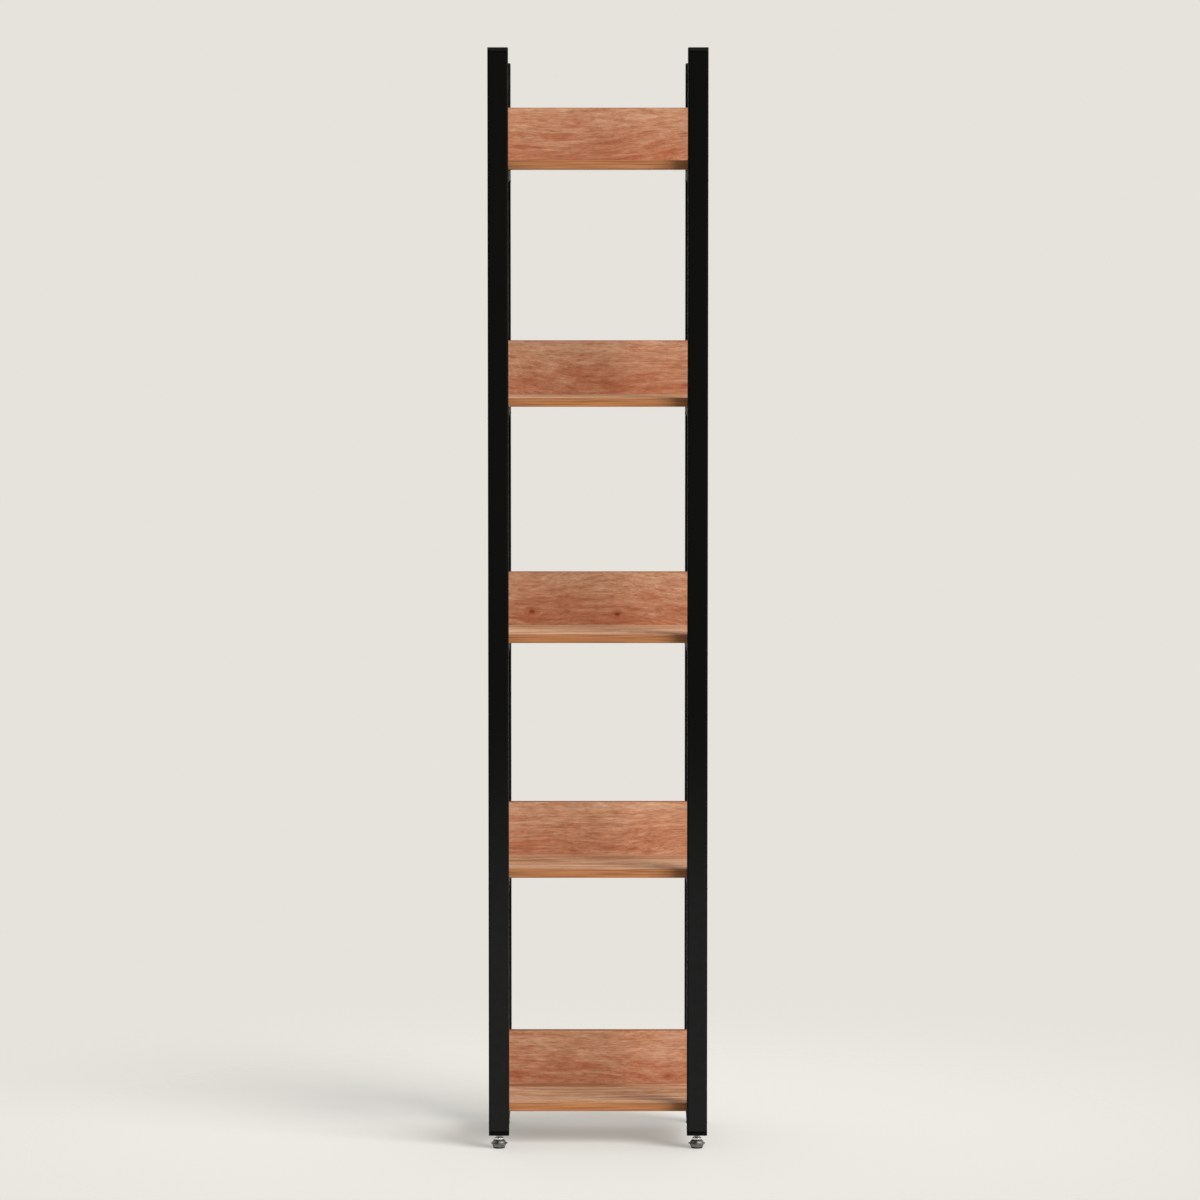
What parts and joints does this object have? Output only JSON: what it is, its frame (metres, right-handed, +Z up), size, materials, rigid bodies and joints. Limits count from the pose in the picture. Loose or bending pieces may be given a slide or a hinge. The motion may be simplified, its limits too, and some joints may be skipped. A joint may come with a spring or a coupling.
{
  "type": "ladder bookcase",
  "caption": "Tall narrow bookcase: black square-tube ladder frames at the sides carry wood-finish shelves with upright back boards, standing on screw-in levelling feet.",
  "frame": {"origin": "on the floor under the middle of the footprint", "axes": "+Z up; +X to the right seen from the front; the front faces -Y"},
  "size_m": [0.378, 0.3, 1.9],
  "materials": {
    "powder_coat": "semi-matt black powder coat",
    "shelf_board": "wood-grain laminate board, satin",
    "back_board": "wood-grain laminate board, satin",
    "black_plastic": "moulded matt black",
    "foot_steel": "turned steel",
    "stem_steel": "bright plated thread",
    "pad_rubber": "matt black rubber",
    "screw_steel": "zinc plated"
  },
  "bodies": {
    "frame": {"post_front_left": "powder_coat", "cap_front_left": "black_plastic", "insert_front_left": "black_plastic", "post_front_right": "powder_coat", "cap_front_right": "black_plastic", "insert_front_right": "black_plastic", "post_rear_left": "powder_coat", "cap_rear_left": "black_plastic", "insert_rear_left": "black_plastic", "post_rear_right": "powder_coat", "cap_rear_right": "black_plastic", "insert_rear_right": "black_plastic", "shelf_1": "shelf_board", "back_board_1": "back_board", "rung_left_1": "powder_coat", "shelf_screw_left_1": "screw_steel", "rung_right_1": "powder_coat", "shelf_screw_right_1": "screw_steel", "shelf_2": "shelf_board", "back_board_2": "back_board", "rung_left_2": "powder_coat", "shelf_screw_left_2": "screw_steel", "rung_right_2": "powder_coat", "shelf_screw_right_2": "screw_steel", "shelf_3": "shelf_board", "back_board_3": "back_board", "rung_left_3": "powder_coat", "shelf_screw_left_3": "screw_steel", "rung_right_3": "powder_coat", "shelf_screw_right_3": "screw_steel", "shelf_4": "shelf_board", "back_board_4": "back_board", "rung_left_4": "powder_coat", "shelf_screw_left_4": "screw_steel", "rung_right_4": "powder_coat", "shelf_screw_right_4": "screw_steel", "shelf_5": "shelf_board", "back_board_5": "back_board", "rung_left_5": "powder_coat", "shelf_screw_left_5": "screw_steel", "rung_right_5": "powder_coat", "shelf_screw_right_5": "screw_steel"},
    "foot_front_left": {"foot_base_front_left": "foot_steel", "foot_pad_front_left": "pad_rubber"},
    "stem_front_left": {"foot_stem_front_left": "stem_steel"},
    "foot_front_right": {"foot_base_front_right": "foot_steel", "foot_pad_front_right": "pad_rubber"},
    "stem_front_right": {"foot_stem_front_right": "stem_steel"},
    "foot_rear_left": {"foot_base_rear_left": "foot_steel", "foot_pad_rear_left": "pad_rubber"},
    "stem_rear_left": {"foot_stem_rear_left": "stem_steel"},
    "foot_rear_right": {"foot_base_rear_right": "foot_steel", "foot_pad_rear_right": "pad_rubber"},
    "stem_rear_right": {"foot_stem_rear_right": "stem_steel"}
  },
  "joints": [
    {"name": "foot_height_front_left", "type": "slide", "parent": "frame", "child": "foot_front_left", "axis": [0, 0, 1], "range_m": [-0.012, 0.005]},
    {"name": "stem_turn_front_left", "type": "hinge", "parent": "foot_front_left", "child": "stem_front_left", "pos_m": [-0.1715, -0.1325, 0.02], "axis": [0, 0, 1], "range_deg": [-2885, 1205]},
    {"name": "foot_height_front_right", "type": "slide", "parent": "frame", "child": "foot_front_right", "axis": [0, 0, 1], "range_m": [-0.012, 0.005]},
    {"name": "stem_turn_front_right", "type": "hinge", "parent": "foot_front_right", "child": "stem_front_right", "pos_m": [0.1715, -0.1325, 0.02], "axis": [0, 0, 1], "range_deg": [-2885, 1205]},
    {"name": "foot_height_rear_left", "type": "slide", "parent": "frame", "child": "foot_rear_left", "axis": [0, 0, 1], "range_m": [-0.012, 0.005]},
    {"name": "stem_turn_rear_left", "type": "hinge", "parent": "foot_rear_left", "child": "stem_rear_left", "pos_m": [-0.1715, 0.1325, 0.02], "axis": [0, 0, 1], "range_deg": [-2885, 1205]},
    {"name": "foot_height_rear_right", "type": "slide", "parent": "frame", "child": "foot_rear_right", "axis": [0, 0, 1], "range_m": [-0.012, 0.005]},
    {"name": "stem_turn_rear_right", "type": "hinge", "parent": "foot_rear_right", "child": "stem_rear_right", "pos_m": [0.1715, 0.1325, 0.02], "axis": [0, 0, 1], "range_deg": [-2885, 1205]}
  ],
  "couplings": [
    {"joint": "stem_turn_front_left", "follows": "foot_height_front_left", "rad_per_m": 4188.8},
    {"joint": "stem_turn_front_right", "follows": "foot_height_front_right", "rad_per_m": 4188.8},
    {"joint": "stem_turn_rear_left", "follows": "foot_height_rear_left", "rad_per_m": 4188.8},
    {"joint": "stem_turn_rear_right", "follows": "foot_height_rear_right", "rad_per_m": 4188.8}
  ]
}
